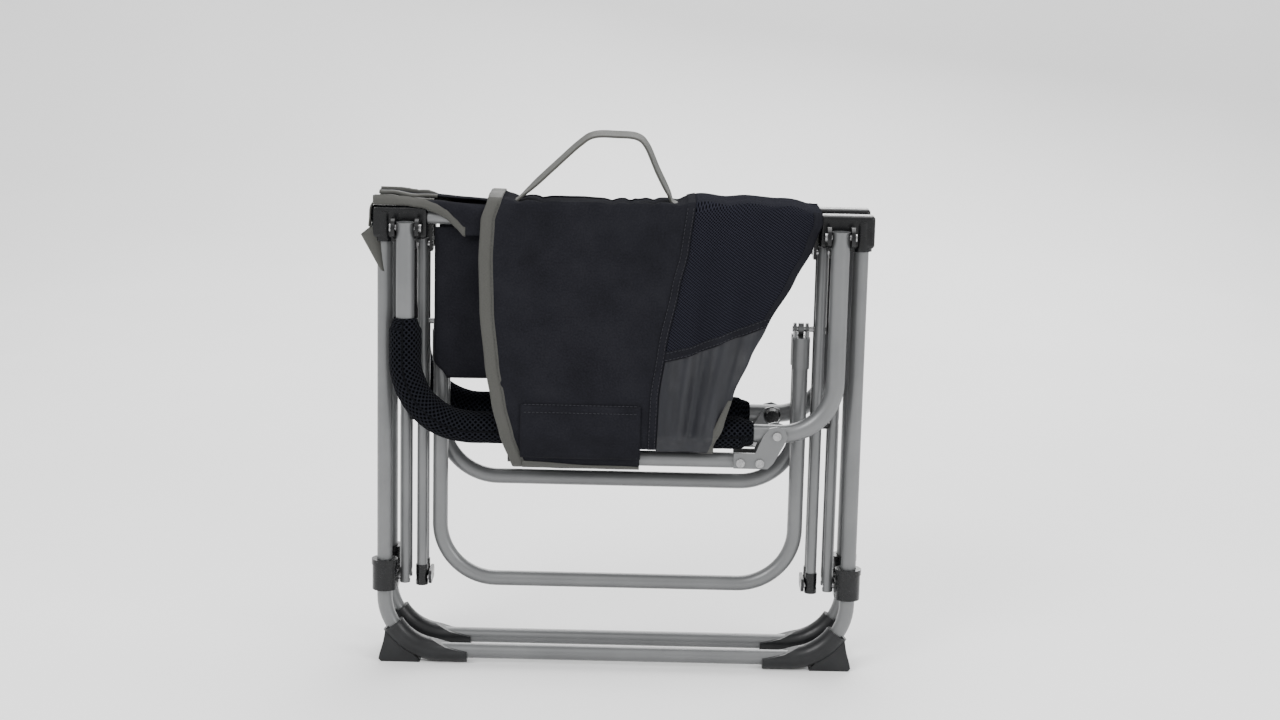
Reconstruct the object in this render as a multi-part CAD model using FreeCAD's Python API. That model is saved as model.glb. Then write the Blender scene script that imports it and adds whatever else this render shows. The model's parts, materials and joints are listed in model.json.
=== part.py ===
import FreeCAD, Part
import os
from math import cos, radians, sin, tan

# Folding camp chair, folded flat for carrying. Millimetres. X runs front (-) to rear (+),
# Y across the chair, near side (-) to far side (+), Z up from the floor.

V = FreeCAD.Vector

# Sled legs: one bent tube a side, standing on a floor rail.
LEG_X = 245.0
LEG_Y = -27.5
LEG_R = 8.0
LEG_TOP = 476.0
RAIL_Z = 12.0
LEG_BEND = 60.0
WALL = 1.2

# Shoes under the corners of the sled legs.
SHOE_R = 12.0
SHOE_TIP = 157.0
SHOE_END_ANGLE = 58.0

# Corner connectors and the seat rail between them.
SEAT_Z = 476.0
SEAT_RAIL_R = 7.0
CONNECTOR_IN = 201.0
CONNECTOR_OUT = 258.0
CONNECTOR_LOW = 454.0
CONNECTOR_TOP = 488.0
CONNECTOR_FACE = -37.5
EAR_REACH = -61.0

# Cross links: a double scissor in two planes along X.
LINK_R = 5.5
LINK_Y = -12.0
CROSS_X = 207.0
SLIDE_X = 225.0
LINK_TOP = 446.0
LINK_LOW = 88.0
LINK_END = 6.0
CAP_R = 6.5
CAP_LENGTH = 20.0
PLATE_IN = 196.6
PLATE = 3.0
HANGER_X = 214.2

# Sleeves that slide on the legs.
SLEEVE_R = 13.0
SLEEVE_BORE = LEG_R + 0.4
SLEEVE_LOW = 79.0
SLEEVE_TOP = 112.0
EAR_X = 231.3

# Centre stays, two bent tubes hung from one pin a side.
STAY_X = 188.0
STAY_R = 8.0
STAY_Y = 10.0
STAY_TOP = 354.0
STAY_PIN_Z = 363.0
STAY_BEND = 60.0
NEAR_STAY_LOW = 88.0
FAR_STAY_LOW = 195.0

# Armrests, folded down outside the legs.
ARM_X = 222.0
ARM_Y = -50.0
ARM_R = 9.5
ARM_PIVOT_Z = 467.0
ARM_LOW = 261.0
ARM_FRONT_BEND = 70.0
ARM_REAR_BEND = 55.0
PAD_R = 17.5
PAD_TOP = 375.0
PAD_END = 139.0

# Backrest uprights, folded under the armrests on a pair of hinge plates.
UPRIGHT_Z = 232.0
UPRIGHT_R = 8.0
UPRIGHT_FROM = 152.0
UPRIGHT_TO = -112.0
HINGE_X = 163.0
HINGE_GAP = 10.2
PLATE_RIVETS = (126.0, 146.0)

# Soft goods.
SHEET = 3.0
COVER_TOP = 493.0
COVER_TOP_Y = -37.0
COVER_SIDE_Y = -74.0
SEAT_FROM = -194.0
SEAT_TO = 192.0
SEAT_TO_LOW = 116.0
SEAT_FOLD_LOW = 309.0
SEAT_OUTER_Y = -27.5
SEAT_OUTER_TOP = 466.0
SEAT_INNER_Y = -23.0
SEAT_INNER_TOP = 427.0
STRAP_WIDTH = 26.0
STRAP_TOP = 562.0

# Pins and fits.
PIN_R = 3.0
RUNNING = 0.05
HEAD_R = 4.5
HEAD = 2.0


def path(points, bends):
    """Straight runs joined by tangent arcs, as one wire."""
    edges = []
    start = points[0]
    for before, corner, after, bend in zip(points, points[1:], points[2:], bends):
        back = (before - corner).normalize()
        ahead = (after - corner).normalize()
        half = back.getAngle(ahead) / 2
        enter = corner + back * (bend / tan(half))
        leave = corner + ahead * (bend / tan(half))
        centre = corner + (back + ahead).normalize() * (bend / sin(half))
        middle = centre + (corner - centre).normalize() * bend
        edges.append(Part.makeLine(start, enter))
        edges.append(Part.Arc(enter, middle, leave).toShape())
        start = leave
    edges.append(Part.makeLine(start, points[-1]))
    return Part.Wire(edges)


def bar(points, bends, radius):
    """A round solid bar along a bent path."""
    start = points[0]
    ring = Part.Wire(Part.makeCircle(radius, start, points[1] - start))
    return path(points, bends).makePipeShell([ring], True, False)


def tube(points, bends, radius):
    """The same bar, hollow to the wall thickness and open at its ends."""
    return bar(points, bends, radius).cut(bar(points, bends, radius - WALL))


def pin_x(x0, x1, y, z, radius=PIN_R):
    return Part.makeCylinder(radius, x1 - x0, V(x0, y, z), V(1, 0, 0))


def pin_y(x, y0, y1, z, radius=PIN_R):
    return Part.makeCylinder(radius, y1 - y0, V(x, y0, z), V(0, 1, 0))


def rod_z(x, y, z0, z1, radius):
    return Part.makeCylinder(radius, z1 - z0, V(x, y, z0))


def block(x0, x1, y0, y1, z0, z1, rounding=0.0):
    shape = Part.makeBox(x1 - x0, y1 - y0, z1 - z0, V(x0, y0, z0))
    return shape.makeFillet(rounding, shape.Edges) if rounding else shape


def prism(outline, direction):
    """A flat outline pushed along a direction."""
    return Part.Face(Part.makePolygon(outline + outline[:1])).extrude(direction)


def front(shape):
    return shape.mirror(V(0, 0, 0), V(1, 0, 0))


def far(shape):
    return shape.mirror(V(0, 0, 0), V(0, 1, 0))


def ends(shape):
    """A rear piece and its front twin, as separate solids of one node."""
    return [shape, front(shape)]


def both(shapes):
    """Near pieces and their far twins, as separate solids of one node."""
    return shapes + [far(shape) for shape in shapes]


def save(name, *shapes):
    solids = [solid for shape in shapes for solid in shape.Solids]
    whole = solids[0] if len(solids) == 1 else Part.makeCompound(solids)
    whole.exportStep("parts/%s.step" % name)


def leg_points():
    corners = ((-LEG_X, LEG_TOP), (-LEG_X, RAIL_Z), (LEG_X, RAIL_Z), (LEG_X, LEG_TOP))
    return [V(x, LEG_Y, z) for x, z in corners]


def sled_frame():
    return tube(leg_points(), [LEG_BEND] * 2, LEG_R)


def seat_rail():
    reach = LEG_X - LEG_R - 2
    return tube([V(-reach, LEG_Y, SEAT_Z), V(reach, LEG_Y, SEAT_Z)], [], SEAT_RAIL_R)


def connector():
    """Rear corner: a block over the leg top with ears for the arm and a lug for the cross link."""
    body = block(CONNECTOR_IN, CONNECTOR_OUT, CONNECTOR_FACE, -17.5, CONNECTOR_LOW, CONNECTOR_TOP, 4.0)
    skirt = rod_z(LEG_X, LEG_Y, CONNECTOR_LOW - 3, CONNECTOR_TOP - 6, LEG_R + 3)
    body = body.fuse(skirt)
    for x in (ARM_X - ARM_R - 4.7, ARM_X + ARM_R + 0.7):
        ear = block(x, x + 4, EAR_REACH + 11, CONNECTOR_FACE + 5, CONNECTOR_LOW - 1, CONNECTOR_TOP - 13)
        tip = pin_x(x, x + 4, EAR_REACH + 11, ARM_PIVOT_Z, 11)
        body = body.fuse([ear, tip])
    lug = block(PLATE_IN, PLATE_IN + PLATE, -24, LINK_Y, LINK_TOP - 6, CONNECTOR_LOW + 14)
    root = block(PLATE_IN, CONNECTOR_IN + 6, -24, -18.5, CONNECTOR_LOW + 2, CONNECTOR_LOW + 14)
    tip = pin_x(PLATE_IN, PLATE_IN + PLATE, LINK_Y, LINK_TOP, 6)
    body = body.fuse([lug, root, tip])
    holes = [
        rod_z(LEG_X, LEG_Y, CONNECTOR_LOW - 20, LEG_TOP, LEG_R),
        pin_x(CONNECTOR_IN - 5, LEG_X - LEG_R - 2, LEG_Y, SEAT_Z, SEAT_RAIL_R),
        pin_x(ARM_X - 16, ARM_X + 16, ARM_Y, ARM_PIVOT_Z),
        pin_x(PLATE_IN, PLATE_IN + PLATE, LINK_Y, LINK_TOP),
    ]
    return body.cut(holes).removeSplitter()


def arm_rivet():
    """A headed rivet through both ears of a connector."""
    inner = ARM_X - ARM_R - 4.7
    outer = ARM_X + ARM_R + 4.7
    shank = pin_x(inner - HEAD, outer + HEAD, ARM_Y, ARM_PIVOT_Z)
    heads = [pin_x(inner - HEAD, inner, ARM_Y, ARM_PIVOT_Z, HEAD_R),
             pin_x(outer, outer + HEAD, ARM_Y, ARM_PIVOT_Z, HEAD_R)]
    return shank.fuse(heads).removeSplitter()


def shoe():
    """Rear foot: a saddle round part of the bend, open above the rail, over a flared heel."""
    centre = V(LEG_X - LEG_BEND, LEG_Y, RAIL_Z + LEG_BEND)
    saddle = bar([V(SHOE_TIP, LEG_Y, RAIL_Z), V(LEG_X, LEG_Y, RAIL_Z), centre + V(LEG_BEND, 0, 5)],
                 [LEG_BEND], SHOE_R)
    angle = radians(SHOE_END_ANGLE)
    wedge = [centre, centre + V(sin(angle), 0, -cos(angle)) * 100, centre + V(100, 0, 50), centre + V(0, 0, 50)]
    saddle = saddle.cut(prism([point - V(0, 20, 0) for point in wedge], V(0, 40, 0)))
    open_top = ((150, 12.5), (158, 13), (165, 14.5), (180, 18), (196, 25), (196, 45), (150, 45))
    saddle = saddle.cut(prism([V(x, LEG_Y - 20, z) for x, z in open_top], V(0, 40, 0)))
    corners = ((207, 0), (248, 0), (251, 3), (250, 8), (246, 22), (243.5, 36), (238, 42), (222, 20))
    heel = prism([V(x, LEG_Y - 7, z) for x, z in corners], V(0, 18, 0))
    return saddle.fuse(heel).cut(bar(leg_points(), [LEG_BEND] * 2, LEG_R)).removeSplitter()


def link(x, pins, bores):
    """A straight link: tight holes for its own pins, running bores for its neighbours'."""
    body = tube([V(x, LINK_Y, LINK_LOW - LINK_END), V(x, LINK_Y, LINK_TOP + LINK_END)], [], LINK_R)
    tight = [pin_x(x - LINK_R, x + LINK_R, LINK_Y, z) for z in pins]
    loose = [pin_x(x - LINK_R, x + LINK_R, LINK_Y, z, PIN_R + RUNNING) for z in bores]
    return body.cut(tight + loose)


def link_cap():
    """The black cap on the lower end of a cross link."""
    low = LINK_LOW - LINK_END
    body = rod_z(CROSS_X, LINK_Y, low - 2, low + CAP_LENGTH, CAP_R)
    body = body.cut(rod_z(CROSS_X, LINK_Y, low, low + CAP_LENGTH, LINK_R))
    return body.cut(pin_x(CROSS_X - 8, CROSS_X + 8, LINK_Y, LINK_LOW, PIN_R + RUNNING))


def crossing_rivet():
    return pin_x(CROSS_X - LINK_R, SLIDE_X + LINK_R - 0.5, LINK_Y, (LINK_LOW + LINK_TOP) / 2)


def crossing_spacer():
    middle = (LINK_LOW + LINK_TOP) / 2
    ring = pin_x(CROSS_X + LINK_R, SLIDE_X - LINK_R - 0.5, LINK_Y, middle, 8)
    return ring.cut(pin_x(CROSS_X, SLIDE_X, LINK_Y, middle))


def sleeve():
    """A black collar that slides on the rear leg, with an ear to the slide link."""
    collar = rod_z(LEG_X, LEG_Y, SLEEVE_LOW, SLEEVE_TOP, SLEEVE_R)
    lip = rod_z(LEG_X, LEG_Y, SLEEVE_TOP - 6, SLEEVE_TOP, SLEEVE_R + 0.8)
    ear = block(EAR_X, EAR_X + 4, LEG_Y, LINK_Y, LINK_LOW - 9, LINK_LOW + 9)
    tip = pin_x(EAR_X, EAR_X + 4, LINK_Y, LINK_LOW, 9)
    holes = [rod_z(LEG_X, LEG_Y, SLEEVE_LOW, SLEEVE_TOP, SLEEVE_BORE),
             pin_x(EAR_X, EAR_X + 4, LINK_Y, LINK_LOW)]
    return collar.fuse([lip, ear, tip]).cut(holes).removeSplitter()


def bottom_bracket():
    """A plate that joins the lower ends of the near and far cross links."""
    plate = block(PLATE_IN, PLATE_IN + PLATE, LINK_Y, -LINK_Y, LINK_LOW - 7, LINK_LOW + 7)
    tips = [pin_x(PLATE_IN, PLATE_IN + PLATE, y, LINK_LOW, 7) for y in (LINK_Y, -LINK_Y)]
    holes = [pin_x(PLATE_IN, PLATE_IN + PLATE, y, LINK_LOW) for y in (LINK_Y, -LINK_Y)]
    return plate.fuse(tips).cut(holes).removeSplitter()


def hanger():
    """A plate that joins the upper ends of the slide links and carries the stay pin."""
    bar_low = LINK_TOP - 6
    head = block(HANGER_X, HANGER_X + PLATE, LINK_Y, -LINK_Y, bar_low, LINK_TOP + 6)
    stem = block(HANGER_X, HANGER_X + PLATE, -6, 6, STAY_PIN_Z, LINK_TOP)
    places = [(LINK_Y, LINK_TOP), (-LINK_Y, LINK_TOP), (0, STAY_PIN_Z)]
    tips = [pin_x(HANGER_X, HANGER_X + PLATE, y, z, 6) for y, z in places]
    holes = [pin_x(HANGER_X, HANGER_X + PLATE, y, z) for y, z in places]
    return head.fuse([stem] + tips).cut(holes).removeSplitter()


def stay(low, y):
    corners = ((-STAY_X, STAY_TOP), (-STAY_X, low), (STAY_X, low), (STAY_X, STAY_TOP))
    return tube([V(x, y, z) for x, z in corners], [STAY_BEND] * 2, STAY_R)


def stay_fitting(side, cheeks):
    """A socket over a stay's top with cheeks that turn on the stay pin."""
    y = side * STAY_Y
    body = rod_z(STAY_X, y, STAY_PIN_Z - 40, STAY_PIN_Z - 7, STAY_R + 1.3)
    body = body.cut(rod_z(STAY_X, y, STAY_PIN_Z - 40, STAY_TOP, STAY_R))
    reach = sorted((0, side * 16))
    for x0, x1 in cheeks:
        cheek = block(x0, x1, reach[0], reach[1], STAY_PIN_Z - 9, STAY_PIN_Z)
        body = body.fuse([cheek, pin_x(x0, x1, 0, STAY_PIN_Z, 6.5)])
    return body.cut(pin_x(STAY_X - 12, STAY_X + 12, 0, STAY_PIN_Z, PIN_R + RUNNING)).removeSplitter()


def arm_points():
    top = ARM_PIVOT_Z + 6
    corners = ((-ARM_X, top), (-ARM_X, ARM_LOW), (ARM_X, ARM_LOW), (ARM_X, top))
    return [V(x, ARM_Y, z) for x, z in corners]


def arm_tube():
    body = tube(arm_points(), [ARM_FRONT_BEND, ARM_REAR_BEND], ARM_R)
    holes = [pin_x(x - 12, x + 12, ARM_Y, ARM_PIVOT_Z, PIN_R + RUNNING) for x in (-ARM_X, ARM_X)]
    holes.append(pin_y(HINGE_X, ARM_Y - 12, ARM_Y + 12, ARM_LOW))
    return body.cut(holes)


def arm_pad():
    run = [V(-ARM_X, ARM_Y, PAD_TOP), V(-ARM_X, ARM_Y, ARM_LOW), V(PAD_END, ARM_Y, ARM_LOW)]
    return bar(run, [ARM_FRONT_BEND], PAD_R).cut(bar(run, [ARM_FRONT_BEND], ARM_R))


def hinge_outline(y):
    corners = ((-44, -35), (-9, -35), (-3, -29), (7, -10), (11, -1), (8, 7), (0, 10),
               (-8, 8), (-14, 0), (-22, -19), (-44, -19))
    return [V(HINGE_X + x, y, ARM_LOW + z) for x, z in corners]


def hinge_plates():
    """The pair of dog-leg plates that carry a backrest upright on its armrest."""
    plates = []
    for y in (ARM_Y - HINGE_GAP - 2.3, ARM_Y + HINGE_GAP):
        plate = prism(hinge_outline(y), V(0, 2.3, 0))
        holes = [pin_y(x, y, y + 2.3, UPRIGHT_Z) for x in PLATE_RIVETS]
        holes.append(pin_y(HINGE_X, y, y + 2.3, ARM_LOW, PIN_R + RUNNING))
        plates.append(plate.cut(holes))
    return plates


def headed_y(x, z, gap):
    """A rivet along Y through both hinge plates, with its heads a small gap away."""
    face = HINGE_GAP + 2.3 + gap
    shank = pin_y(x, ARM_Y - face - HEAD, ARM_Y + face + HEAD, z)
    heads = [pin_y(x, ARM_Y - face - HEAD, ARM_Y - face, z, HEAD_R),
             pin_y(x, ARM_Y + face, ARM_Y + face + HEAD, z, HEAD_R)]
    return shank.fuse(heads).removeSplitter()


def hinge_knob():
    """The round black cap on the inner end of the backrest pivot."""
    face = ARM_Y + HINGE_GAP + 2.3 + 0.5 + HEAD
    return Part.makeCone(9, 7, 6, V(HINGE_X, face, ARM_LOW), V(0, 1, 0))


def upright():
    body = tube([V(UPRIGHT_TO, ARM_Y, UPRIGHT_Z), V(UPRIGHT_FROM, ARM_Y, UPRIGHT_Z)], [], UPRIGHT_R)
    return body.cut([pin_y(x, ARM_Y - 12, ARM_Y + 12, UPRIGHT_Z) for x in PLATE_RIVETS])


def upright_plugs():
    inside = UPRIGHT_R - WALL
    return [pin_x(UPRIGHT_TO - 3, UPRIGHT_TO + 8, ARM_Y, UPRIGHT_Z, inside),
            pin_x(UPRIGHT_FROM - 2.5, UPRIGHT_FROM, ARM_Y, UPRIGHT_Z, inside)]


def cover():
    """Half of the backrest fabric: a pocket round the upright and a panel up to the top fold."""
    hip = (ARM_Y - UPRIGHT_R - 0.8, UPRIGHT_Z - 5)
    route = [hip, (COVER_SIDE_Y, ARM_LOW - 10), (COVER_SIDE_Y, ARM_LOW + 10), (COVER_TOP_Y, COVER_TOP)]
    back = [(y + SHEET, z) for y, z in reversed(route[1:])] + [(hip[0] + SHEET, hip[1] + 7)]
    section = [V(-150, y, z) for y, z in route + back]
    panel = prism(section, V(370, 0, 0))
    corners = ((-105, 205), (22, 205), (22, 249), (98, 249), (114, 300), (149, 374), (194, 440), (194, 500),
               (-130, 500), (-140, 380))
    panel = panel.common(prism([V(x, -90, z) for x, z in corners], V(0, 90, 0)))
    pocket = pin_x(-107, 22, ARM_Y, UPRIGHT_Z, UPRIGHT_R + 2.4)
    bore = pin_x(-120, 120, ARM_Y, UPRIGHT_Z, UPRIGHT_R + 0.4)
    return panel.fuse(pocket).cut(bore).removeSplitter()


def cover_top():
    """The strip of backrest fabric across the top fold."""
    return block(-129, 194, COVER_TOP_Y + 1, -COVER_TOP_Y - 1, COVER_TOP + 0.6, COVER_TOP + 0.6 + SHEET)


def seat_panel(y, top):
    """One layer of the folded seat, from its lower fold up to a height."""
    share = (top - SEAT_FOLD_LOW) / (SEAT_OUTER_TOP - SEAT_FOLD_LOW)
    rear = SEAT_TO_LOW + (SEAT_TO - SEAT_TO_LOW) * share
    corners = ((SEAT_FROM + 12, SEAT_FOLD_LOW), (SEAT_TO_LOW, SEAT_FOLD_LOW), (rear, top), (SEAT_FROM, top),
               (SEAT_FROM, SEAT_FOLD_LOW + 13))
    return prism([V(x, y - 1.2, z) for x, z in corners], V(0, 2.4, 0))


def strap():
    """A webbing loop for carrying, sewn down at both ends."""
    low = COVER_TOP + 0.6 + SHEET
    run = [V(-127, 0, low + 1.2), V(-110, 0, low + 1.2), V(-38, 0, STRAP_TOP), V(18, 0, STRAP_TOP),
           V(49, 0, low + 1.2), V(74, 0, low + 1.2)]
    centre = path(run, [14, 16, 12, 12])
    start = run[0] - V(0, STRAP_WIDTH / 2, 1.2)
    corners = [start, start + V(0, STRAP_WIDTH, 0), start + V(0, STRAP_WIDTH, 2.4), start + V(0, 0, 2.4)]
    band = Part.makePolygon(corners + corners[:1])
    return centre.makePipeShell([band], True, False)


def save_side(side, turn):
    """Every piece that the near and far sides both have."""
    save(side + "_sled_frame", turn(sled_frame()))
    save(side + "_seat_rail", turn(seat_rail()))
    save(side + "_rear_connector", turn(connector()))
    save(side + "_front_connector", turn(front(connector())))
    save(side + "_rear_shoe", turn(shoe()))
    save(side + "_front_shoe", turn(front(shoe())))
    top_pin = pin_x(PLATE_IN, CROSS_X + LINK_R - 0.5, LINK_Y, LINK_TOP)
    rivets = ends(arm_rivet()) + ends(top_pin)
    save(side + "_connector_rivets", *[turn(piece) for piece in rivets])

    middle = (LINK_LOW + LINK_TOP) / 2
    cross = link(CROSS_X, [middle], [LINK_LOW, LINK_TOP])
    slide = link(SLIDE_X, [], [LINK_LOW, middle, LINK_TOP])
    save(side + "_cross_links", *[turn(piece) for piece in ends(cross)])
    save(side + "_slide_links", *[turn(piece) for piece in ends(slide)])
    save(side + "_link_end_caps", *[turn(piece) for piece in ends(link_cap())])
    save(side + "_crossing_rivets", *[turn(piece) for piece in ends(crossing_rivet())])
    save(side + "_crossing_spacers", *[turn(piece) for piece in ends(crossing_spacer())])
    save(side + "_sliding_sleeves", *[turn(piece) for piece in ends(sleeve())])
    sleeve_pin = pin_x(SLIDE_X - LINK_R + 0.5, EAR_X + 4, LINK_Y, LINK_LOW)
    save(side + "_sleeve_pins", *[turn(piece) for piece in ends(sleeve_pin)])

    save(side + "_armrest_tube", turn(arm_tube()))
    save(side + "_armrest_pad", turn(arm_pad()))
    save(side + "_backrest_pivot", turn(headed_y(HINGE_X, ARM_LOW, 0.5)))
    save(side + "_hinge_knob", turn(hinge_knob()))
    save(side + "_hinge_plates", *[turn(piece) for piece in hinge_plates()])
    save(side + "_plate_rivets", *[turn(headed_y(x, UPRIGHT_Z, 0)) for x in PLATE_RIVETS])
    save(side + "_backrest_upright", turn(upright()))
    save(side + "_upright_plugs", *[turn(piece) for piece in upright_plugs()])
    save(side + "_backrest_cover", turn(cover()))
    save(side + "_seat_outer", turn(seat_panel(SEAT_OUTER_Y, SEAT_OUTER_TOP)))
    save(side + "_seat_inner", turn(seat_panel(SEAT_INNER_Y, SEAT_INNER_TOP)))


def save_centre():
    """The pieces between the two sides."""
    save("bottom_brackets", *ends(bottom_bracket()))
    low_pin = pin_x(PLATE_IN, CROSS_X + CAP_R - 0.5, LINK_Y, LINK_LOW)
    save("bottom_bracket_pins", *both(ends(low_pin)))
    save("hanger_plates", *ends(hanger()))
    top_pin = pin_x(HANGER_X, SLIDE_X + LINK_R - 0.5, LINK_Y, LINK_TOP)
    stay_pin = pin_x(STAY_X - 9, HANGER_X + PLATE, 0, STAY_PIN_Z)
    save("hanger_pins", *both(ends(top_pin)), *ends(stay_pin))
    save("near_stay", stay(NEAR_STAY_LOW, -STAY_Y))
    save("far_stay", stay(FAR_STAY_LOW, STAY_Y))
    outer_cheeks = ((STAY_X - 7.8, STAY_X - 4.8), (STAY_X + 4.8, STAY_X + 7.8))
    inner_eye = ((STAY_X - 2.8, STAY_X + 2.8),)
    save("near_stay_fittings", *ends(stay_fitting(-1, outer_cheeks)))
    save("far_stay_fittings", *ends(stay_fitting(1, inner_eye)))
    save("backrest_cover_top", cover_top())
    save("carry_strap", strap())


os.makedirs("parts", exist_ok=True)
save_side("near", lambda shape: shape)
save_side("far", far)
save_centre()
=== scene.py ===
import bpy
import json
from math import cos, exp, pi, radians, sin
from mathutils import Matrix, Vector, noise


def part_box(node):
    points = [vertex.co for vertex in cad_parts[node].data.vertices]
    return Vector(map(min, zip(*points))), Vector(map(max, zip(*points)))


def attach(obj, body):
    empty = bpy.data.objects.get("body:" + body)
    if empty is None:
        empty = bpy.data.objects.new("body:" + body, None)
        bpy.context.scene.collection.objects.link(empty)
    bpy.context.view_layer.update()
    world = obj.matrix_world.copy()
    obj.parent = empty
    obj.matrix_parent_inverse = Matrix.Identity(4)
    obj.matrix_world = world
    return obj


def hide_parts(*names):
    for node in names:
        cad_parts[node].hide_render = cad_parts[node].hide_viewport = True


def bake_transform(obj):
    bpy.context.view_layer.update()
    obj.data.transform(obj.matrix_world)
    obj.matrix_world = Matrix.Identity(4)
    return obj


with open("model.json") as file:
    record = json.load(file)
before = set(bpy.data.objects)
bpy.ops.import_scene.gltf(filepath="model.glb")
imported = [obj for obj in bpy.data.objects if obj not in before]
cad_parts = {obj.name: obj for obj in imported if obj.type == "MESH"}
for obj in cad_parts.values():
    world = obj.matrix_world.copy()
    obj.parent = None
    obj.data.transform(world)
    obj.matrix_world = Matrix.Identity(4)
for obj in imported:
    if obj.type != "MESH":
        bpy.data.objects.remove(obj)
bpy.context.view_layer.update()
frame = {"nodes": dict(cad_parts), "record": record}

# Each side's place along Y.
SIGN = {"near": -1, "far": 1}

# Camera, in metres and degrees.
CAMERA_AT = Vector((0.020, -2.385, 0.7895))
CAMERA_DOWN = 11.0
CAMERA_ROLL = 1.3
LENS = 65

# Studio: world strength, then (name, place, size in metres, power in watts) of each area light.
WORLD = 1.05
LIGHTS = (("key", (-1.6, -2.2, 2.4), 1.4, 75), ("fill", (2.2, -1.8, 1.3), 1.2, 34),
          ("top", (0.2, 0.3, 2.6), 1.8, 50), ("back", (0.4, 2.6, 1.8), 2.0, 60))
LIGHT_AIM = Vector((0, 0, 0.3))
# The floor and its curved backdrop: (y, z) of each row in metres, and the places along each row.
FLOOR_ROWS = ((-4, 0), (0, 0), (2.2, 0), (2.8, 0.08), (3.3, 0.35), (3.6, 0.9), (3.7, 3.5))
FLOOR_ACROSS = (-5, -2, 0, 2, 5)

# Cloth, in metres.
CLOTH = 0.0010
TAPE = 0.0135
TAPE_PROUD = 0.0011
STITCH = 0.0030
STITCH_PITCH = 0.0042
STITCH_R = 0.00033
# A stitch's profile: (place along it, radius share).
STITCH_PROFILE = ((-0.5, 0.2), (-0.32, 0.9), (0.0, 1.0), (0.32, 0.9), (0.5, 0.2))
STITCH_SIDES = 6

# Outlines of the backrest cover: (height share, place along X in metres).
SEAT_REAR_LOW = 0.116
COVER_FRONT = ((0.0, -0.109), (0.13, -0.121), (0.25, -0.130), (0.39, -0.1376), (0.59, -0.1441),
               (0.79, -0.1463), (0.93, -0.1447), (1.0, -0.138))
COVER_SEAM = ((0.10, 0.0381), (0.285, 0.0395), (0.47, 0.0465), (0.69, 0.0589), (0.83, 0.0677), (1.0, 0.0735))
COVER_REAR = ((0.10, 0.096), (0.18, 0.1062), (0.31, 0.1169), (0.44, 0.1331), (0.56, 0.1494), (0.73, 0.1765),
              (0.85, 0.1946), (0.95, 0.2040), (1.0, 0.2035))
# The slanting seam between mesh and lining: (width share, height share).
SLANT = ((0.0, 0.422), (0.25, 0.441), (0.5, 0.478), (0.75, 0.520), (1.0, 0.559))
LINING_LOW = 0.074
STEP_TO = 0.0215
FLAP_FROM = -0.1014
FLAP_LOW = 0.045
FLAP_TOP = 0.245
# Mesh columns across the whole panel, and across its part in front of the step.
PANEL_COLUMNS = 66
FRONT_COLUMNS = 46

# Creases that run down from the top fold: (X at the top, slant, width, depth) in metres.
CREASES = ((-0.108, 0.022, 0.0050, 0.0030), (-0.084, -0.012, 0.006, 0.0014), (-0.014, 0.010, 0.0045, 0.0013),
           (0.006, 0.006, 0.0035, 0.0016), (0.030, 0.004, 0.005, 0.0014), (0.056, -0.022, 0.006, 0.0022))
# Pleats of the loose cloth behind the seam: (X at the foot, X at the top, width, height) in metres.
PLEATS = ((0.053, 0.080, 0.0075, 0.0042), (0.066, 0.100, 0.006, -0.0034), (0.078, 0.122, 0.008, 0.0042),
          (0.090, 0.146, 0.006, -0.0026), (0.100, 0.170, 0.009, 0.0030))
# Small puckers in the top fold, along X in metres.
PUCKERS = (-0.086, -0.012, 0.006, 0.016, 0.031)

# The lower edge of the cloth over a front connector: (X, height) in metres.
CORNER_EDGE = ((-0.256, 0.4905), (-0.225, 0.4902), (-0.206, 0.4880), (-0.1925, 0.4830), (-0.181, 0.4765),
               (-0.172, 0.4680), (-0.1635, 0.4592), (-0.120, 0.4585))


# ---- numbers and curves ----

def curve_at(table, t):
    """A smooth curve through a short table of (place, value)."""
    if t <= table[0][0]:
        return table[0][1]
    for (a, low), (b, high) in zip(table, table[1:]):
        if t <= b:
            w = (t - a) / (b - a)
            w = w * w * (3 - 2 * w) * 0.35 + w * 0.65
            return low + (high - low) * w
    return table[-1][1]


def mix(a, b, w):
    return a + (b - a) * w


def smooth(a, b, t):
    w = min(1.0, max(0.0, (t - a) / (b - a)))
    return w * w * (3 - 2 * w)


def hump(t, centre, width):
    return exp(-((t - centre) / width) ** 2)


def noisy(x, y, z, scale):
    return noise.noise(Vector((x, y, z)) / scale)


def spline(points, step):
    """Evenly spaced points on a Catmull-Rom curve."""
    ends = [2 * points[0] - points[1]] + points + [2 * points[-1] - points[-2]]
    fine = []
    for p0, p1, p2, p3 in zip(ends, ends[1:], ends[2:], ends[3:]):
        count = max(2, int((p2 - p1).length / step * 2))
        for i in range(count):
            t = i / count
            fine.append(0.5 * (2 * p1 + (p2 - p0) * t + (2 * p0 - 5 * p1 + 4 * p2 - p3) * t * t
                               + (3 * p1 - 3 * p2 + p3 - p0) * t ** 3))
    fine.append(points[-1])
    return even(fine, step)


def even(points, step):
    """The same polyline with evenly spaced points."""
    along = [0.0]
    for a, b in zip(points, points[1:]):
        along.append(along[-1] + (b - a).length)
    count = max(2, round(along[-1] / step))
    result = []
    k = 0
    for i in range(count + 1):
        target = along[-1] * i / count
        while k < len(along) - 2 and along[k + 1] < target:
            k += 1
        span = along[k + 1] - along[k] or 1.0
        result.append(points[k].lerp(points[k + 1], (target - along[k]) / span))
    return result


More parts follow.
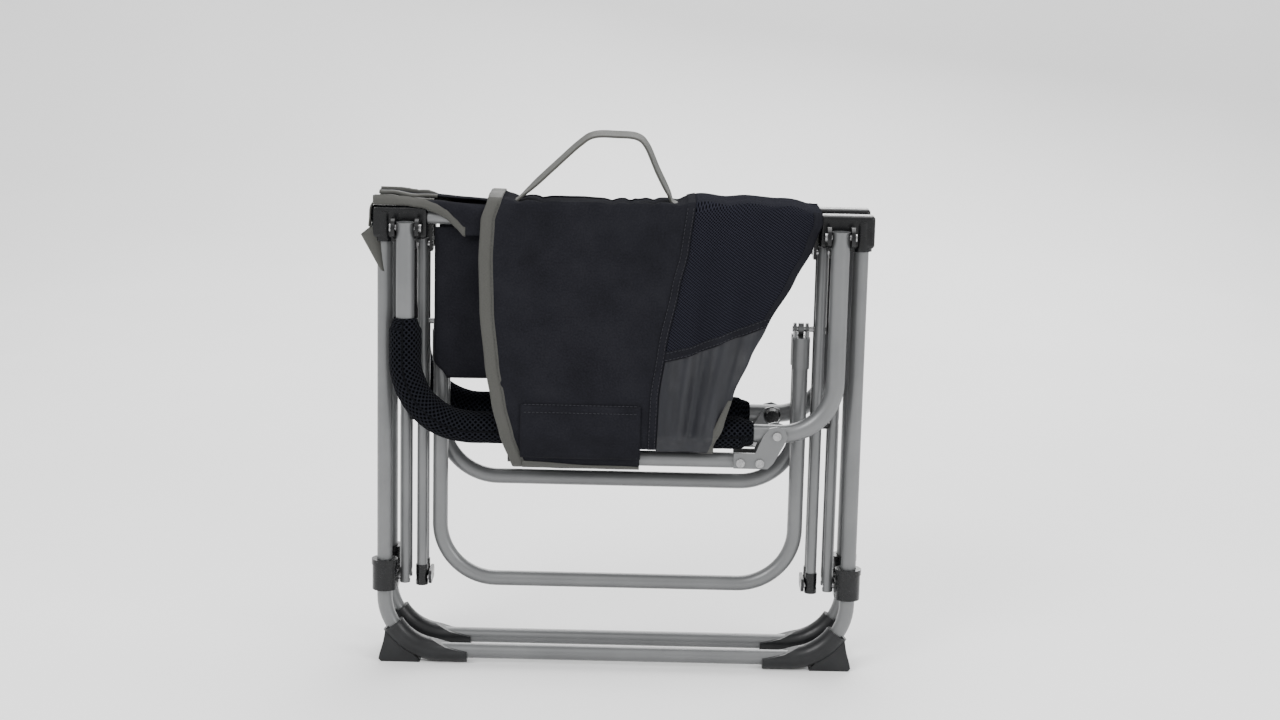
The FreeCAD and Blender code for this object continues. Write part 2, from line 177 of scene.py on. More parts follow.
def rounded(points, bend, step):
    """Straight runs with circular corners, evenly spaced."""
    path = [points[0]]
    for before, corner, after, radius in zip(points, points[1:], points[2:], bend):
        back = (before - corner).normalized()
        ahead = (after - corner).normalized()
        half = back.angle(ahead) / 2
        centre = corner + (back + ahead).normalized() * (radius / sin(half))
        reach = radius * cos(half) / sin(half)
        start = corner + back * reach - centre
        turn = pi - 2 * half
        axis = start.cross(corner + ahead * reach - centre).normalized()
        for i in range(25):
            path.append(centre + Matrix.Rotation(turn * i / 24, 3, axis) @ start)
    path.append(points[-1])
    return even(path, step)


# ---- meshes ----

def new_mesh(name, points, faces, uvs=None, material=None):
    mesh = bpy.data.meshes.new(name)
    mesh.from_pydata([tuple(p) for p in points], [], faces)
    if uvs:
        layer = mesh.uv_layers.new(name="flat")
        for loop in mesh.loops:
            layer.data[loop.index].uv = uvs[loop.vertex_index]
    mesh.polygons.foreach_set("use_smooth", [True] * len(mesh.polygons))
    mesh.update()
    piece = bpy.data.objects.new(name, mesh)
    bpy.context.scene.collection.objects.link(piece)
    if material:
        mesh.materials.append(material)
    return piece


def grid(name, rows, material, closed=False, keep=None):
    """A mesh over rows of points. The UVs are distances along the rows and between them."""
    count = len(rows[0])
    points = [p for row in rows for p in row]
    down = [0.0]
    for a, b in zip(rows, rows[1:]):
        down.append(down[-1] + (a[count // 2] - b[count // 2]).length)
    uvs = []
    for row, v in zip(rows, down):
        u = 0.0
        for i, p in enumerate(row):
            if i:
                u += (p - row[i - 1]).length
            uvs.append((u, v))
    faces = []
    for r in range(len(rows) - 1):
        for c in range(count if closed else count - 1):
            d = (c + 1) % count
            if keep is None or keep(r, c):
                faces.append((r * count + c, r * count + d, (r + 1) * count + d, (r + 1) * count + c))
    if keep:
        used = sorted({i for face in faces for i in face})
        place = {old: new for new, old in enumerate(used)}
        points, uvs = [points[i] for i in used], [uvs[i] for i in used]
        faces = [tuple(place[i] for i in face) for face in faces]
    return new_mesh(name, points, faces, uvs, material)


def thicken(piece, thickness):
    """Gives an open sheet its two faces and rim, and keeps the result as its mesh."""
    shell = piece.modifiers.new("thickness", "SOLIDIFY")
    shell.thickness = thickness
    shell.offset = 0.0
    return settle(piece)


def settle(piece):
    """Applies a piece's modifiers."""
    shown = piece.evaluated_get(bpy.context.evaluated_depsgraph_get())
    mesh = bpy.data.meshes.new_from_object(shown)
    piece.modifiers.clear()
    piece.data = mesh
    return piece


def loft(name, path, section, material, sideways, ends=True):
    """A closed section carried along a path. section(i, n) gives (across, outward) pairs."""
    rows = []
    for i, p in enumerate(path):
        ahead = (path[min(i + 1, len(path) - 1)] - path[max(i - 1, 0)]).normalized()
        side = sideways(i)
        side = (side - ahead * side.dot(ahead)).normalized()
        out = side.cross(ahead)
        rows.append([p + side * a + out * b for a, b in section(i, len(path))])
    piece = grid(name, rows, material, closed=True)
    if ends:
        cap(piece, len(rows), len(rows[0]))
    return piece


def cap(piece, rows, count):
    """Closes both ends of a loft with a fan."""
    mesh = piece.data
    old = [v.co.copy() for v in mesh.vertices]
    faces = [tuple(p.vertices) for p in mesh.polygons]
    uvs = [None] * len(old)
    for loop in mesh.loops:
        uvs[loop.vertex_index] = tuple(mesh.uv_layers[0].data[loop.index].uv)
    for first, order in ((0, -1), ((rows - 1) * count, 1)):
        ring = list(range(first, first + count))
        centre = sum((old[i] for i in ring), Vector()) / count
        old.append(centre)
        uvs.append(uvs[first])
        middle = len(old) - 1
        for a, b in zip(ring, ring[1:] + ring[:1]):
            faces.append((middle, a, b) if order > 0 else (middle, b, a))
    made = new_mesh(piece.name + "_closed", old, faces, uvs, mesh.materials[0])
    piece.data = made.data
    bpy.data.objects.remove(made)


def stitches(name, line, up, material, body, pitch=STITCH_PITCH):
    """A row of thread stitches lying on a line of points, each a small closed bead."""
    points, faces = [], []
    spots = even(line, pitch)
    for a, b in zip(spots, spots[1:]):
        ahead = (b - a).normalized()
        side = ahead.cross(up).normalized()
        first = len(points)
        for t, r in STITCH_PROFILE:
            middle = (a + b) / 2 + ahead * (t * STITCH) + up * (STITCH_R * 0.4)
            for k in range(STITCH_SIDES):
                turn = 2 * pi * k / STITCH_SIDES
                points.append(middle + (side * cos(turn) + up * sin(turn)) * (STITCH_R * r))
        last = len(points) - STITCH_SIDES
        for ring in range(first, last, STITCH_SIDES):
            for k in range(STITCH_SIDES):
                p, q = ring + k, ring + (k + 1) % STITCH_SIDES
                faces.append((p, q, q + STITCH_SIDES, p + STITCH_SIDES))
        faces.append(tuple(range(first + STITCH_SIDES - 1, first - 1, -1)))
        faces.append(tuple(range(last, len(points))))
    piece = new_mesh(name, points, faces, None, material)
    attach(piece, body)


# ---- materials ----

class Shader:
    """A Principled material and short calls for the nodes that feed it."""

    def __init__(self, name, rough, **fixed):
        self.material = bpy.data.materials.new(name)
        self.material.use_nodes = True
        self.tree = self.material.node_tree
        self.shader = self.tree.nodes["Principled BSDF"]
        self.shader.inputs["Roughness"].default_value = rough
        for label, value in fixed.items():
            self.shader.inputs[label.replace("_", " ")].default_value = value
        self.places = self.node("ShaderNodeTexCoord")

    def node(self, kind, **settings):
        made = self.tree.nodes.new(kind)
        for key, value in settings.items():
            setattr(made, key, value)
        return made

    def feed(self, target, source):
        if isinstance(source, (int, float, tuple)):
            target.default_value = source
        else:
            self.tree.links.new(source, target)

    def math(self, operation, a, b=0.0):
        made = self.node("ShaderNodeMath", operation=operation)
        self.feed(made.inputs[0], a)
        self.feed(made.inputs[1], b)
        return made.outputs[0]

    def scaled(self, source, scale, turn=0.0):
        made = self.node("ShaderNodeMapping")
        self.feed(made.inputs["Vector"], source)
        made.inputs["Scale"].default_value = scale
        made.inputs["Rotation"].default_value = (0, 0, turn)
        return made.outputs[0]

    def noise(self, source, size, detail=3.0, rough=0.55):
        made = self.node("ShaderNodeTexNoise")
        self.feed(made.inputs["Vector"], source)
        made.inputs["Scale"].default_value = 1 / size
        made.inputs["Detail"].default_value = detail
        made.inputs["Roughness"].default_value = rough
        return made.outputs["Fac"]

    def ramp(self, source, stops):
        made = self.node("ShaderNodeValToRGB")
        self.feed(made.inputs[0], source)
        ramp = made.color_ramp
        while len(ramp.elements) < len(stops):
            ramp.elements.new(0.5)
        for element, (place, colour) in zip(ramp.elements, stops):
            element.position = place
            element.color = (*colour, 1) if len(colour) == 3 else colour
        return made.outputs[0]

    def spread(self, source, low, high, to_low, to_high):
        made = self.node("ShaderNodeMapRange")
        self.feed(made.inputs[0], source)
        for i, value in enumerate((low, high, to_low, to_high)):
            made.inputs[i + 1].default_value = value
        return made.outputs[0]

    def colour(self, source):
        self.feed(self.shader.inputs["Base Color"], source)

    def rough(self, source):
        self.feed(self.shader.inputs["Roughness"], source)

    def bump(self, source, height, strength=1.0, under=None):
        made = self.node("ShaderNodeBump")
        self.feed(made.inputs["Height"], source)
        made.inputs["Distance"].default_value = height
        made.inputs["Strength"].default_value = strength
        if under:
            self.feed(made.inputs["Normal"], under)
        self.feed(self.shader.inputs["Normal"], made.outputs[0])
        return made.outputs[0]

    def weave(self, source, pitch):
        """Over-and-under threads: 1 on the crown of a thread, 0 in the gaps."""
        parts = self.node("ShaderNodeSeparateXYZ")
        self.feed(parts.inputs[0], source)
        u = self.math("MULTIPLY", parts.outputs[0], pi / pitch)
        v = self.math("MULTIPLY", parts.outputs[1], pi / pitch)
        warp = self.math("ABSOLUTE", self.math("SINE", u))
        weft = self.math("ABSOLUTE", self.math("SINE", v))
        swap = self.math("SINE", self.math("MULTIPLY", u, 0.5))
        other = self.math("SINE", self.math("MULTIPLY", v, 0.5))
        over = self.spread(self.math("MULTIPLY", swap, other), -0.3, 0.3, 0.0, 1.0)
        first = self.math("MULTIPLY", warp, over)
        second = self.math("MULTIPLY", weft, self.math("SUBTRACT", 1.0, over))
        return self.math("ADD", first, second)


def powder_coat():
    s = Shader("powder_coat", 0.4, Metallic=0.35, Coat_Weight=0.25, Coat_Roughness=0.25)
    at = s.places.outputs["Object"]
    drift = s.noise(at, 0.05, 4)
    speck = s.noise(at, 0.0009, 2)
    s.colour(s.ramp(drift, ((0.3, (0.114, 0.117, 0.119)), (0.7, (0.137, 0.140, 0.142)))))
    s.rough(s.spread(speck, 0.3, 0.7, 0.33, 0.47))
    peel = s.bump(s.noise(at, 0.0035, 2), 0.0001, 0.25)
    s.bump(speck, 0.00004, 0.3, peel)
    return s.material


def moulded(name, dark, light, low, high, grain):
    """Moulded plastic with a fine spark-eroded grain and handling marks."""
    s = Shader(name, (low + high) / 2, Specular_IOR_Level=0.28, Coat_Weight=0.06, Coat_Roughness=0.08)
    at = s.places.outputs["Object"]
    s.colour(s.ramp(s.noise(at, 0.02, 4), ((0.3, dark), (0.75, light))))
    s.rough(s.spread(s.noise(at, 0.006, 5), 0.3, 0.7, low, high))
    ripple = s.bump(s.noise(at, 0.012, 1), 0.0006, 0.25)
    s.bump(s.noise(at, 0.0007, 2), 0.00006, grain, ripple)
    return s.material


def bright_steel():
    s = Shader("bright_steel", 0.25, Metallic=1.0)
    at = s.places.outputs["Object"]
    s.colour(s.ramp(s.noise(at, 0.004, 3), ((0.3, (0.22, 0.22, 0.225)), (0.7, (0.36, 0.36, 0.36)))))
    s.rough(s.spread(s.noise(at, 0.0012, 3), 0.3, 0.7, 0.16, 0.36))
    s.bump(s.noise(at, 0.0016, 2), 0.0001, 0.3)
    return s.material


def woven(name, dark, light, pitch, sheen, rough, slub=0.5):
    """Plain-woven polyester: crossing threads, slubs, and colour that drifts a little."""
    s = Shader(name, rough, Sheen_Weight=sheen, Sheen_Roughness=0.4, Specular_IOR_Level=0.0)
    flat = s.places.outputs["UV"]
    threads = s.weave(flat, pitch)
    fleck = s.noise(flat, pitch * 2.2, 2)
    drift = s.noise(flat, 0.04, 3)
    tone = s.math("ADD", s.math("MULTIPLY", threads, 0.45), s.math("MULTIPLY", fleck, slub))
    tone = s.math("ADD", tone, s.math("MULTIPLY", s.math("SUBTRACT", drift, 0.5), 0.5))
    s.colour(s.ramp(tone, ((0.15, dark), (0.95, light))))
    s.rough(s.spread(threads, 0.0, 1.0, min(1.0, rough + 0.12), rough - 0.05))
    soft = s.bump(s.noise(flat, 0.011, 3), 0.0012, 0.3)
    s.bump(tone, pitch * 0.35, 0.5, soft)
    return s.material


def lining_cloth():
    """Coated lining with a silky face and very fine threads. Its colour carries painted highlight streaks
    that run up the cloth.
    """
    s = Shader("lining_cloth", 0.38, Sheen_Weight=0.05, Sheen_Roughness=0.3, Specular_IOR_Level=0.3)
    flat = s.places.outputs["UV"]
    # painted highlight: this colour noise is stretched along the height, so lighter streaks run up the lining
    # as soft vertical highlights
    drift = s.noise(s.scaled(flat, (1, 0.2, 1)), 0.012, 3)
    s.colour(s.ramp(drift, ((0.25, (0.0050, 0.0054, 0.0078)), (0.8, (0.0110, 0.0118, 0.0160)))))
    s.rough(s.spread(s.noise(flat, 0.006, 3), 0.3, 0.7, 0.3, 0.44))
    soft = s.bump(s.noise(s.scaled(flat, (1, 0.35, 1)), 0.014, 3), 0.0016, 0.45)
    s.bump(s.weave(flat, 0.0005), 0.00008, 0.35, soft)
    return s.material


def netting(name, cell, turn, dark, light, depth):
    """Knitted net: rows of holes between raised strands."""
    s = Shader(name, 0.62, Sheen_Weight=0.02, Sheen_Roughness=0.4, Specular_IOR_Level=0.0)
    flat = s.scaled(s.places.outputs["UV"], (1 / cell, 1 / cell, 1), turn)
    cells = s.node("ShaderNodeTexVoronoi", feature="F1", voronoi_dimensions="2D")
    s.feed(cells.inputs["Vector"], flat)
    cells.inputs["Scale"].default_value = 1.0
    cells.inputs["Randomness"].default_value = 0.06
    strand = s.spread(cells.outputs["Distance"], 0.22, 0.46, 0.0, 1.0)
    yarn = s.noise(s.places.outputs["UV"], cell * 0.22, 2)
    tone = s.math("MULTIPLY", strand, s.spread(yarn, 0.3, 0.7, 0.55, 1.0))
    s.colour(s.ramp(tone, ((0.05, dark), (0.9, light))))
    s.rough(s.spread(strand, 0.0, 1.0, 0.85, 0.5))
    soft = s.bump(s.noise(s.places.outputs["UV"], 0.012, 2), 0.001, 0.35)
    s.bump(tone, depth, 0.9, soft)
    return s.material


def webbing(name, dark, light):
    """Ribbed tape: cords along its length crossed by fine picks."""
    s = Shader(name, 0.7, Sheen_Weight=0.06, Sheen_Roughness=0.5, Specular_IOR_Level=0.3)
    flat = s.places.outputs["UV"]
    ribs = s.weave(flat, 0.0011)
    fleck = s.noise(flat, 0.0018, 3)
    tone = s.math("ADD", s.math("MULTIPLY", ribs, 0.45), s.math("MULTIPLY", fleck, 0.5))
    s.colour(s.ramp(tone, ((0.2, dark), (0.9, light))))
    s.rough(s.spread(fleck, 0.3, 0.7, 0.62, 0.8))
    soft = s.bump(s.noise(flat, 0.009, 2), 0.0008, 0.3)
    s.bump(tone, 0.0004, 0.6, soft)
    return s.material


def paper_floor():
    s = Shader("pale_floor", 0.8)
    at = s.places.outputs["Object"]
    s.colour(s.ramp(s.noise(at, 0.6, 2), ((0.3, (0.86, 0.86, 0.86)), (0.7, (0.9, 0.9, 0.9)))))
    return s.material


GREY = powder_coat()
BLACK = moulded("black_moulding", (0.0018, 0.0020, 0.0024), (0.0044, 0.0047, 0.0055), 0.2, 0.34, 0.2)
SHOE = moulded("shoe_moulding", (0.0062, 0.0066, 0.0072), (0.0125, 0.013, 0.014), 0.32, 0.48, 0.4)
PLATE = moulded("black_plate", (0.01, 0.01, 0.011), (0.022, 0.022, 0.024), 0.3, 0.45, 0.2)
STEEL = bright_steel()
NAVY = woven("navy_cloth", (0.0044, 0.0045, 0.0056), (0.0190, 0.0192, 0.0235), 0.0009, 0.02, 0.8)
LINING = lining_cloth()
MESH = netting("mesh_cloth", 0.0023, 0.7, (0.0020, 0.0020, 0.0028), (0.0190, 0.0196, 0.0270), 0.0004)
PAD = netting("pad_net", 0.0041, 0.785, (0.0006, 0.0006, 0.0008), (0.0115, 0.0123, 0.0155), 0.0010)
TAPE_CLOTH = webbing("grey_tape", (0.026, 0.026, 0.023), (0.066, 0.066, 0.060))
THREAD = webbing("grey_thread", (0.03, 0.03, 0.028), (0.08, 0.08, 0.075))
DARK_THREAD = webbing("navy_thread", (0.008, 0.008, 0.012), (0.04, 0.042, 0.055))

SLOT_LOOK = {"frame_grey": GREY, "black_plastic": BLACK, "shoe_plastic": SHOE,
             "plate_steel": PLATE, "rivet_steel": STEEL, "mesh_pad": PAD, "navy_fabric": NAVY,
             "grey_webbing": TAPE_CLOTH}


def dress_nodes():
    """Gives every CAD node the full material of its slot."""
    slots = {row["node"]: row["material_slot"] for row in frame["record"]["subparts"]}
    for name, node in frame["nodes"].items():
        for place in node.material_slots:
            place.material = SLOT_LOOK[slots[name]]


# ---- camera, light and floor ----

def stage_and_camera():
    lens = bpy.data.cameras.new("camera")
    lens.lens = LENS
    camera = bpy.data.objects.new("camera", lens)
    bpy.context.scene.collection.objects.link(camera)
    turn = Matrix.Rotation(radians(90 - CAMERA_DOWN), 4, "X") @ Matrix.Rotation(radians(CAMERA_ROLL), 4, "Z")
    camera.matrix_world = Matrix.Translation(CAMERA_AT) @ turn
    bpy.context.scene.camera = camera

    rows = []
    for y, z in FLOOR_ROWS:
        rows.append([Vector((x, y, z)) for x in FLOOR_ACROSS])
    floor = grid("floor", rows, paper_floor())
    curved = floor.modifiers.new("soft", "SUBSURF")
    curved.levels = curved.render_levels = 3

    world = bpy.data.worlds.new("studio")
    world.use_nodes = True
    world.node_tree.nodes["Background"].inputs[0].default_value = (1, 1, 1, 1)
    world.node_tree.nodes["Background"].inputs[1].default_value = WORLD
    bpy.context.scene.world = world
    for name, at, size, power in LIGHTS:
        light = bpy.data.lights.new(name, "AREA")
        light.size = size
        light.energy = power
        lamp = bpy.data.objects.new(name, light)
        bpy.context.scene.collection.objects.link(lamp)
        lamp.location = at
        lamp.rotation_euler = (LIGHT_AIM - Vector(at)).to_track_quat("-Z", "Y").to_euler()


# ---- backrest cover ----

class Cover:
    """Where the near or far backrest cover runs: a section across the chair, and its relief."""

    def __init__(self, side):
        self.side = side
        self.sign = SIGN[side]
        low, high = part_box(side + "_backrest_cover")
        tube_low, tube_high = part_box(side + "_backrest_upright")
        strip_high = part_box("backrest_cover_top")[1]
        middle = (tube_low + tube_high) / 2
        radius = (tube_high.z - tube_low.z) / 2 + 0.0022
        out = max(abs(low.y), abs(high.y)) - 0.001
        y, z = abs(middle.y), middle.z
        top_y, top_z = strip_high.y, strip_high.z
        pocket = [(y - radius, z + 0.016), (y - radius, z + 0.001), (y - radius * 0.72, z - radius * 0.72),
                  (y, z - radius), (y + radius * 0.75, z - radius * 0.66)]
        side_run = [(out - 0.002, z + 0.022), (out, z + 0.038),
                    (mix(out, top_y, 0.5), mix(z + 0.038, top_z, 0.52)), (top_y + 0.003, top_z - 0.012)]
        over = [(top_y - 0.006, top_z - 0.0015), (0, top_z), (-top_y + 0.001, top_z - 0.0006),
                (-top_y - 0.0075, top_z - 0.0036)]
        if side == "far":
            over = [(top_y - 0.001, top_z - 0.0015)]
        self.run = spline([Vector((0, b, c)) for b, c in pocket + side_run + over], 0.004)
        self.crest = next(i for i, p in enumerate(self.run) if p.z > top_z - 0.004)
        self.lowest = min(range(len(self.run)), key=lambda i: self.run[i].z)
        self.last = len(self.run) - 1

    def share(self, i):
        """Height share of a step of the section, 1 all the way over the top."""
        if i >= self.crest:
            return 1.0
        if i <= self.lowest:
            return 0.0
        return (self.run[i].z - self.run[self.lowest].z) / (self.run[self.crest].z - self.run[self.lowest].z)

    def step_at(self, share):
        return next(i for i in range(self.lowest, self.last + 1) if self.share(i) >= share)

    def normal(self, i):
        ahead = self.run[min(i + 1, self.last)] - self.run[max(i - 1, 0)]
        return Vector((0, ahead.z * self.sign, -ahead.y)).normalized()

    def place(self, x, i, out=0.0):
        """A point on the cloth at x, at a step of the section, moved outward."""
        p = self.run[i]
        point = Vector((x, p.y * self.sign, p.z)) + self.normal(i) * (self.relief(x, i) + out)
        if i >= self.crest - 8:
            point.z += self.crown(x, p.y * self.sign) * smooth(self.crest - 8, self.crest + 2, i)
        return point

    def between_steps(self, x, spot, out=0.0):
        base = min(int(spot), self.last - 1)
        return self.place(x, base, out).lerp(self.place(x, base + 1, out), spot - base)

    def crown(self, x, y):
        """How the top fold rises, sags and puckers along its length."""
        sag = 0.0045 * smooth(-0.140, -0.095, x) * (1 - smooth(0.020, 0.078, x))
        sink = sag * smooth(-0.036, -0.004, y) + 0.0080 * smooth(0.160, 0.207, x)
        lift = 0.0012 * hump(x, 0.115, 0.05) - sink * (1.0 if self.side == "near" else 0.5)
        lift += 0.0030 * hump(x, -0.133, 0.010) * smooth(-0.05, -0.03, y)
        for centre in PUCKERS:
            lift -= 0.0011 * hump(x, centre, 0.0035)
        return lift + 0.0010 * noisy(x, 1.0 + y, 0.0, 0.02)

    def relief(self, x, i):
        """Folds and creases, in metres outward."""
        h = self.share(i)
        lift = 0.0012 * noisy(x, h * 0.26, self.sign, 0.045) + 0.0004 * noisy(x, h * 0.26, 3.0, 0.014)
        for top, lean, width, deep in CREASES:
            lift -= deep * hump(x, top + lean * (1 - h) * 2.4, width) * smooth(0.52, 0.97, h)
        behind = smooth(0.032, 0.055, x)
        for foot, top, width, deep in PLEATS:
            strength = smooth(0.06, 0.16, h) * (1 - 0.6 * smooth(0.45, 1.0, h))
            lift += deep * hump(x, mix(foot, top, h * 1.15), width * (0.75 + h * 1.2)) * strength * behind
        return lift * smooth(0.0, 0.16, h)

    def sheet(self, name, left, right, first, last, columns, material, out=0.0, keep=None):
        """Cloth between two edge functions of the step, from one step to another."""
        rows = []
        for i in range(first, last + 1):
            a, b = left(i), right(i)
            rows.append([self.place(mix(a, b, c / columns), i, out) for c in range(columns + 1)])
        return self.made(name, rows, material, keep)

    def made(self, name, rows, material, keep=None):
        """A sheet of cloth from rows of points, with its outer face to the outside."""
        piece = grid(name, rows, material, keep=keep)
        if self.sign > 0:
            piece.data.flip_normals()
        return thicken(piece, CLOTH)

    def beyond(self, w, place, out=0.0):
        """A point behind the seam at width share w. Past 1, place runs on over the top fold."""
        if place <= 1.0:
            base = self.lowest
            while base < self.crest - 1 and self.share(base + 1) < place:
                base += 1
            low, high = self.share(base), self.share(base + 1)
            t = min(1.0, max(0.0, (place - low) / (high - low)))
        else:
            spot = self.crest + (place - 1.0) * (self.last - self.crest)
            base = min(int(spot), self.last - 1)
            t = spot - base
        ends = []
        for i in (base, base + 1):
            x = mix(curve_at(COVER_SEAM, self.share(i)), curve_at(COVER_REAR, self.share(i)), w)
            ends.append(self.place(x, i, out))
        return ends[0].lerp(ends[1], t)

    def between(self, name, low, high, first, last, columns, material, out=0.0, rows_wanted=46):
        """Cloth behind the seam, between two height functions and two width shares."""
        rows = []
        for r in range(rows_wanted + 1):
            row = []
            for c in range(columns + 1):
                w = mix(first, last, c / columns)
                row.append(self.beyond(w, mix(low(w), high(w), r / rows_wanted), out))
            rows.append(row)
        return self.made(name, rows, material)


def slant(w):
    """Height share of the slanting seam at a width share."""
    return curve_at(SLANT, w)


def tape(name, line, inward, out, material=None, width=TAPE):
    """Binding folded over an edge: it shows on both faces and bulges round the edge."""
    back = CLOTH + TAPE_PROUD
    section = ((width, 0.0004), (width, TAPE_PROUD * 0.8), (width * 0.5, TAPE_PROUD),
               (0.0008, TAPE_PROUD * 1.1), (-0.0012, TAPE_PROUD * 0.4), (-0.0014, -back * 0.4),
               (-0.0006, -back), (width * 0.5, -back * 0.95), (width, -back * 0.8), (width, -CLOTH * 0.6))
    rows = []
    for i, p in enumerate(line):
        rows.append([p + inward(i) * u + out(i) * v for u, v in section])
    piece = grid(name, rows, material or TAPE_CLOTH, closed=True)
    cap(piece, len(rows), len(section))
    return piece


def bend_at_top(piece, cover):
    """On the far side the piece rides on the far cover. On the near side its place is baked into its mesh and
    it rides on no body.
    """
    if cover.side == "far":
        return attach(piece, "far_cover")
    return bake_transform(piece)


def backrest_cover(side):
    """The navy panel, mesh and lining of one side, with its flap, bands and bindings."""
    cover = Cover(side)
    over = side == "near"
    step = cover.step_at(LINING_LOW)

    def front_edge(i):
        return curve_at(COVER_FRONT, cover.share(i))

    def seam(i):
        return curve_at(COVER_SEAM, cover.share(i))

    rows = []
    for i in range(cover.last + 1):
        row = [cover.place(mix(front_edge(i), STEP_TO, c / FRONT_COLUMNS), i) for c in range(FRONT_COLUMNS)]
        rest = PANEL_COLUMNS - FRONT_COLUMNS
        row += [cover.place(mix(STEP_TO, seam(i), c / rest), i) for c in range(rest + 1)]
        rows.append(row)
    main = cover.made(side + "_cover_panel", rows, NAVY, lambda r, c: r >= step or c < FRONT_COLUMNS)
    bend_at_top(main, cover)
    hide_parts(side + "_backrest_cover")

    top = 2.0 if over else 1.0
    net = cover.between(side + "_cover_mesh", slant, lambda w: top, 0, 1, 44, MESH, 0.0002)
    bend_at_top(net, cover)

    lining = cover.between(side + "_cover_lining", lambda w: LINING_LOW + 0.004 * sin(pi * w),
                           lambda w: slant(w) + 0.012, 0, 1, 44, LINING, -0.0006)
    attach(lining, side + "_cover")

    bands(cover, seam)
    bindings(cover, front_edge)
    flap(cover)
    sew(cover, front_edge, seam)


def bands(cover, seam):
    """Turned seam allowances: down the long seam, along the slanting one and up the rear edge."""
    side = cover.side
    step = cover.step_at(LINING_LOW)
    down = cover.sheet(side + "_seam_band", lambda i: seam(i) - 0.0085, seam, step, cover.last, 4, NAVY,
                       0.0009)
    bend_at_top(down, cover)
    low = cover.between(side + "_slant_band", lambda w: slant(w) - 0.004, lambda w: slant(w) + 0.034, 0, 1,
                        40, NAVY, 0.0008, 5)
    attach(low, side + "_cover")
    rear = cover.between(side + "_rear_band", slant, lambda w: 1.0, 0.93, 1.0, 4, NAVY, 0.0008, 30)
    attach(rear, side + "_cover")


def bindings(cover, front_edge):
    """Grey tape on the front edge, under the flap and on the lower rear corner."""
    side = cover.side
    edge = [cover.place(front_edge(i), i) for i in range(cover.last + 1)]
    bound = tape(side + "_front_binding", edge, lambda k: Vector((1, 0, 0)), cover.normal)
    bend_at_top(bound, cover)

    rows = []
    for r in range(7):
        row = []
        for c in range(41):
            w = c / 40
            spot = cover.lowest - 2 + mix(4.6, 3.1, w ** 0.7) * r / 6 + 0.15 * sin(w * 9)
            row.append(cover.between_steps(mix(front_edge(0) + TAPE * 0.7, STEP_TO, w), spot, 0.0014))
        rows.append(row)
    under = cover.made(side + "_lower_binding", rows, TAPE_CLOTH)
    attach(under, side + "_cover")

    steps = range(cover.step_at(LINING_LOW - 0.012), cover.step_at(0.29))
    line = [cover.place(curve_at(COVER_REAR, cover.share(i)), i, -0.001) for i in steps]
    rear = tape(side + "_rear_binding", line, lambda k: Vector((-mix(1.15, 0.25, k / len(line)), 0, 0)),
                lambda k: cover.normal(steps[k]), width=TAPE * 0.85)
    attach(rear, side + "_cover")


def flap(cover):
    """The stitched flap low on the navy panel."""
    side = cover.side
    first, last = cover.step_at(FLAP_LOW), cover.step_at(FLAP_TOP)

    def puff(x, i):
        w = (x - FLAP_FROM) / (STEP_TO - FLAP_FROM)
        h = (i - first) / (last - first)
        return 0.0018 + 0.0022 * sin(pi * min(1, max(0, w))) ** 0.5 * sin(pi * min(1, 0.1 + h)) ** 0.7

    rows = []
    for i in range(first, last + 1):
        xs = [mix(FLAP_FROM, STEP_TO + 0.0006, c / 48) for c in range(49)]
        rows.append([cover.place(x, i, puff(x, i)) for x in xs])
    piece = cover.made(side + "_cover_flap", rows, NAVY)
    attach(piece, side + "_cover")
    for k, drop in enumerate((0, 2)):
        xs = [mix(FLAP_FROM + 0.003, STEP_TO - 0.003, c / 40) for c in range(41)]
        line = [cover.place(x, last - drop, 0.0034) for x in xs]
        stitches("%s_flap_stitches_%d" % (side, k + 1), line, Vector((0, cover.sign, 0)), DARK_THREAD,
                 side + "_cover")


def sew(cover, front_edge, seam):
    """Rows of stitching on the bindings and seams."""
    side = cover.side
    bound = range(cover.step_at(0.02), cover.crest)
    stitched = range(cover.step_at(LINING_LOW), cover.crest)

    def along_seam(inset):
        return [cover.place(seam(i) - inset, i, 0.0016) for i in stitched]

    def along_slant(rise):
        return [cover.beyond(c / 30, slant(c / 30) + rise, 0.0014) for c in range(31)]

    rows = [
        ("_binding_stitches", [cover.place(front_edge(i) + TAPE - 0.0018, i, 0.0012) for i in bound], THREAD),
        ("_seam_stitches_outer", along_seam(0.0015), DARK_THREAD),
        ("_seam_stitches_inner", along_seam(0.0075), DARK_THREAD),
        ("_slant_stitches_low", along_slant(0.002), DARK_THREAD),
        ("_slant_stitches_high", along_slant(0.028), DARK_THREAD),
    ]
    for name, line, thread in rows:
        stitches(side + name, line, Vector((0, cover.sign, 0)), thread, side + "_cover")


# ---- cloth over the front connectors ----

def resampled(points, count):
    """A polyline with a fixed number of evenly spaced points."""
    length = sum((b - a).length for a, b in zip(points, points[1:]))
    made = even(points, length / count)
    return made[:count] + [made[-1]]


def corner_section(x, sign, top):
    """The section of the corner cloth at x, from its inner edge over the rail to its lower edge."""
    behind = smooth(-0.212, -0.168, x)
    inner, outer = 0.0190, mix(0.0380, 0.0350, behind)
    edge = curve_at(CORNER_EDGE, x)
    wave = 0.0010 * noisy(x, 4.0, sign, 0.016)
    top += 0.0035 * smooth(-0.215, -0.245, x) - 0.0036 * smooth(-0.206, -0.140, x)
    over = [(inner, top + 0.0040 + wave), (0.5 * (inner + outer), top + 0.0050),
            (outer - 0.0035, top + 0.0042 + wave), (outer, top + 0.0022)]
    down = [(outer + 0.0016 + 0.0010 * noisy(x, z, 0, 0.02), z) for z in (0.4840, 0.4780, 0.4710, 0.4640)]
    line = spline([Vector((x, y, z)) for y, z in over + down + [(outer + 0.0022, 0.4570)]], 0.0015)
    kept = [p for k, p in enumerate(line) if k < 8 or p.z >= edge]
    kept.append(Vector((x, kept[-1].y, edge - 0.0002)))
    return [Vector((x, p.y * sign, p.z)) for p in resampled(kept, 22)]


